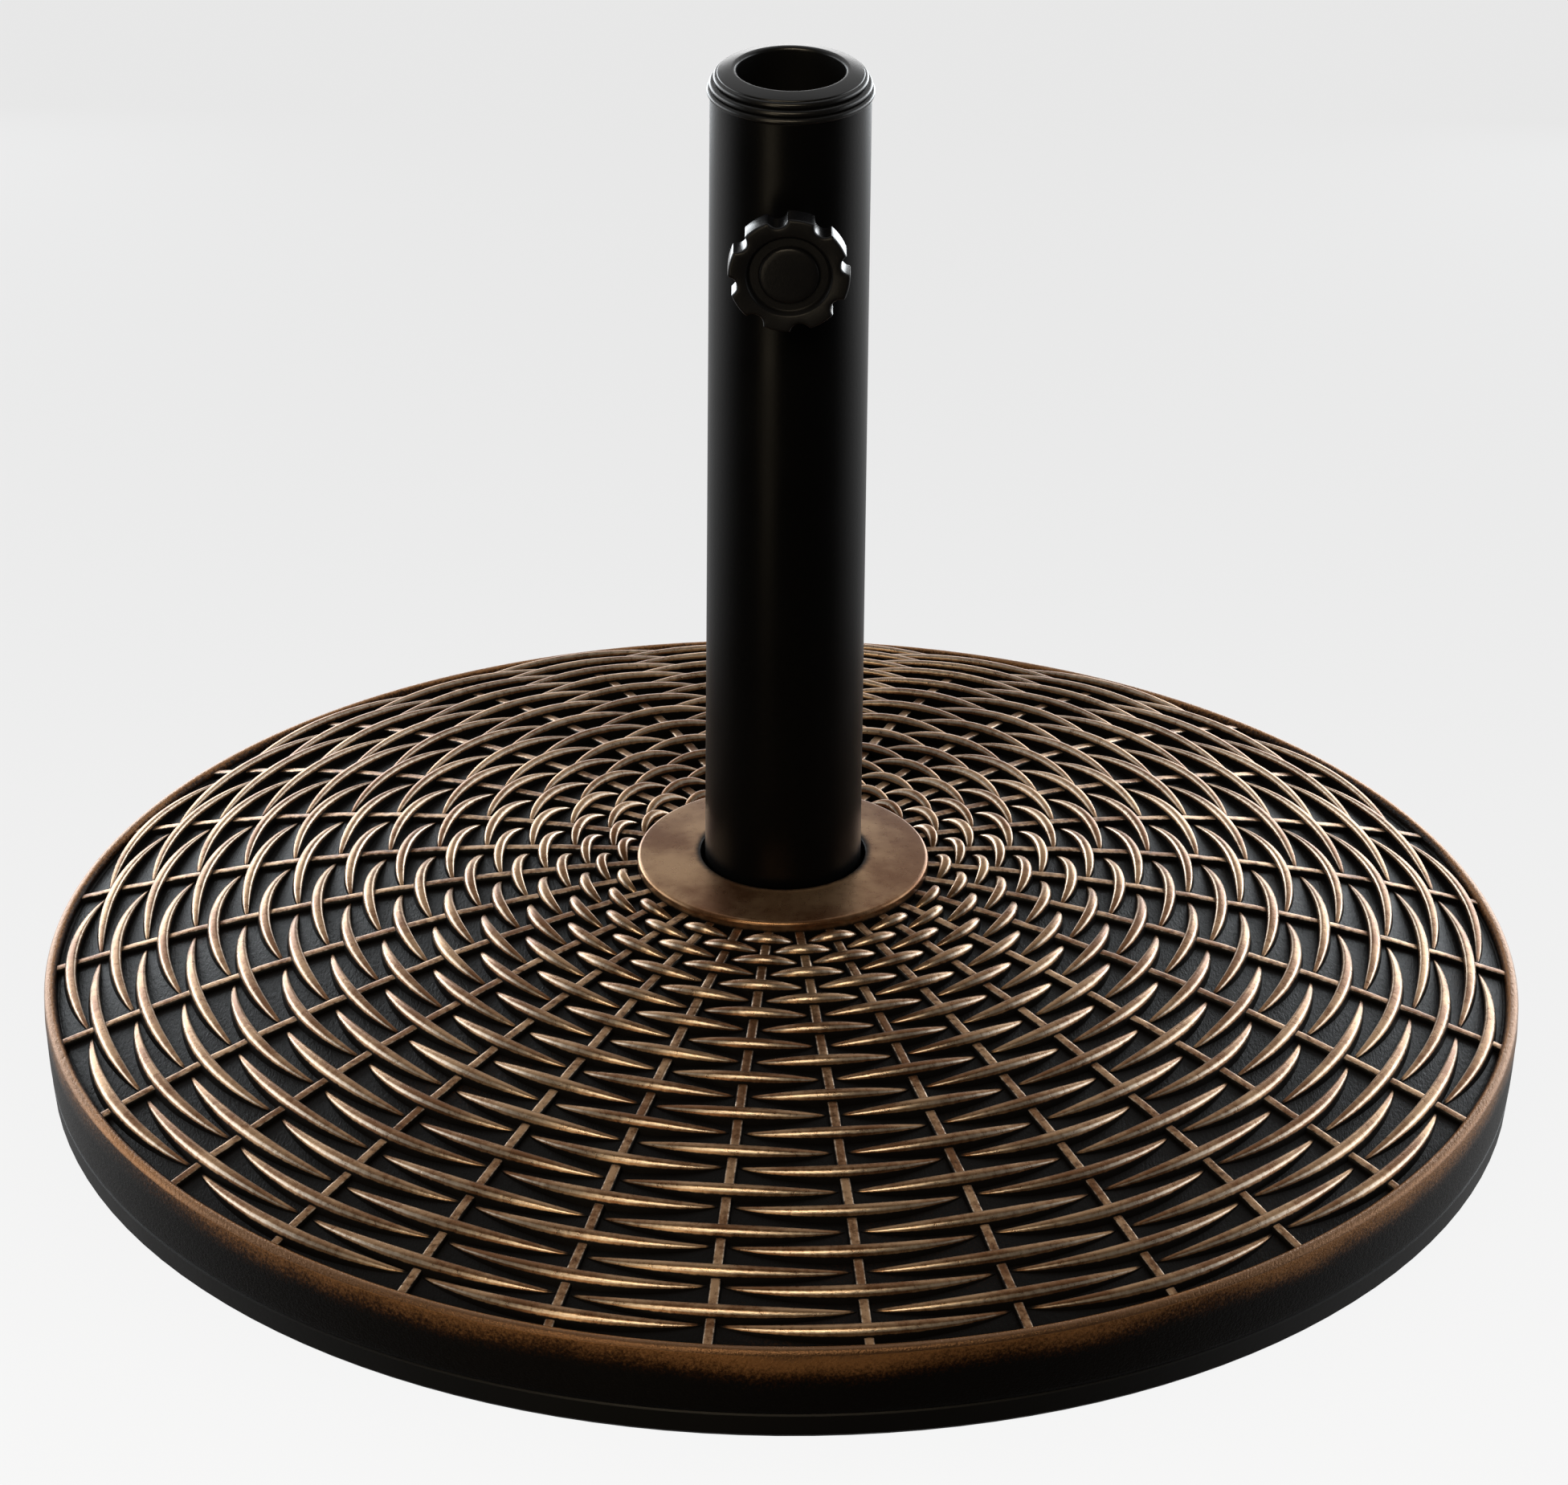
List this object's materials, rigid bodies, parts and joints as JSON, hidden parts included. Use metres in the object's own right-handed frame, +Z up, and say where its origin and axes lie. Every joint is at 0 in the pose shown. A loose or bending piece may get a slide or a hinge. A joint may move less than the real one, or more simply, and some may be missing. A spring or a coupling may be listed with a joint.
{
  "type": "parasol base",
  "caption": "Round weighted parasol base with a domed wicker relief, an upright pole tube, a reducer cap and a screw clamp knob.",
  "frame": {"origin": "on the ground at the centre of the disc", "axes": "+Z up along the pole tube, -Y towards the clamp knob, +X to the right of someone facing the knob"},
  "size_m": [0.52, 0.52, 0.38],
  "materials": {
    "bronze_cover": "moulded resin, near-black brown with dry-brushed antique bronze on the rim and wall",
    "bronze_weave": "moulded wicker relief, dark ground with dry-brushed copper-bronze crowns",
    "bronze_hub": "smooth moulded ring, brushed antique copper",
    "black_pan": "black moulded plastic",
    "cement": "cast cement",
    "zinc_steel": "bright zinc-plated steel",
    "plain_steel": "plain machined steel",
    "rubber_black": "black rubber",
    "inner_plastic": "black moulded plastic",
    "black_tube": "satin black powder coat on steel",
    "cap_black": "satin black moulded plastic",
    "knob_black": "glossy-sided black moulded plastic",
    "pad_plastic": "tough nylon, dark grey"
  },
  "bodies": {
    "base": {"cover_shell": "bronze_cover", "weave_spokes": "bronze_weave", "outer_strands": "bronze_weave", "middle_strands": "bronze_weave", "inner_strands": "bronze_weave", "hub_ring": "bronze_hub", "bottom_pan": "black_pan", "cement_fill": "cement", "pan_screws": "zinc_steel", "rubber_pads": "rubber_black", "socket_cup": "inner_plastic", "pole_tube": "black_tube", "tube_plug": "plain_steel", "pole_rest": "inner_plastic", "anchor_bolt": "zinc_steel", "spring_washer": "plain_steel", "anchor_washer": "zinc_steel", "bolt_cover": "black_pan", "weld_nut": "black_tube"},
    "cap": {"top_cap": "cap_black"},
    "clamp_tip": {"clamp_pad": "pad_plastic"},
    "knob": {"knob_body": "knob_black", "knob_cap": "knob_black", "knob_screw": "zinc_steel"}
  },
  "joints": [
    {"name": "cap_lift", "type": "slide", "parent": "base", "child": "cap", "axis": [0, 0, 1], "range_m": [0, 0.06]},
    {"name": "clamp_travel", "type": "slide", "parent": "base", "child": "clamp_tip", "axis": [0, 1, 0], "range_m": [-0.00125, 0.005]},
    {"name": "knob_turn", "type": "hinge", "parent": "clamp_tip", "child": "knob", "pos_m": [0, -0.051, 0.3263], "axis": [0, 1, 0], "range_deg": [-360, 1440]}
  ],
  "couplings": [
    {"joint": "clamp_travel", "follows": "knob_turn", "m_per_rad": 0.00019894}
  ]
}
